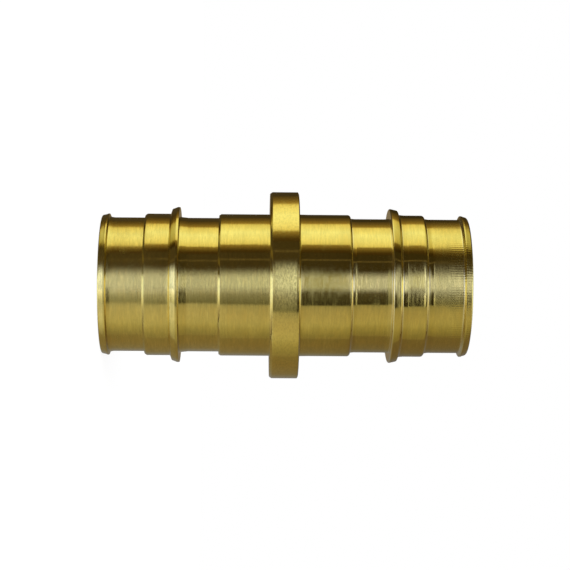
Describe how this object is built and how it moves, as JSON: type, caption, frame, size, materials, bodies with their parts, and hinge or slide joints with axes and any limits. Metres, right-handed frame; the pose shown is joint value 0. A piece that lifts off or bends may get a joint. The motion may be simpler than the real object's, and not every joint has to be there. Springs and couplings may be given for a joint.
{
  "type": "pex coupling",
  "caption": "Straight barbed coupling for cold-expanded plastic pipe, with a middle stop collar and a through bore.",
  "frame": {"origin": "centre of the bore at the lower end face, on which the coupling stands", "axes": "+Z along the bore, from the lower insert to the upper one; X and Y are alike, because the part is turned"},
  "size_m": [0.0334, 0.0334, 0.065],
  "materials": {
    "turned_brass": "polished, fine turned"
  },
  "bodies": {
    "root": {"coupling_body": "turned_brass"}
  },
  "joints": []
}
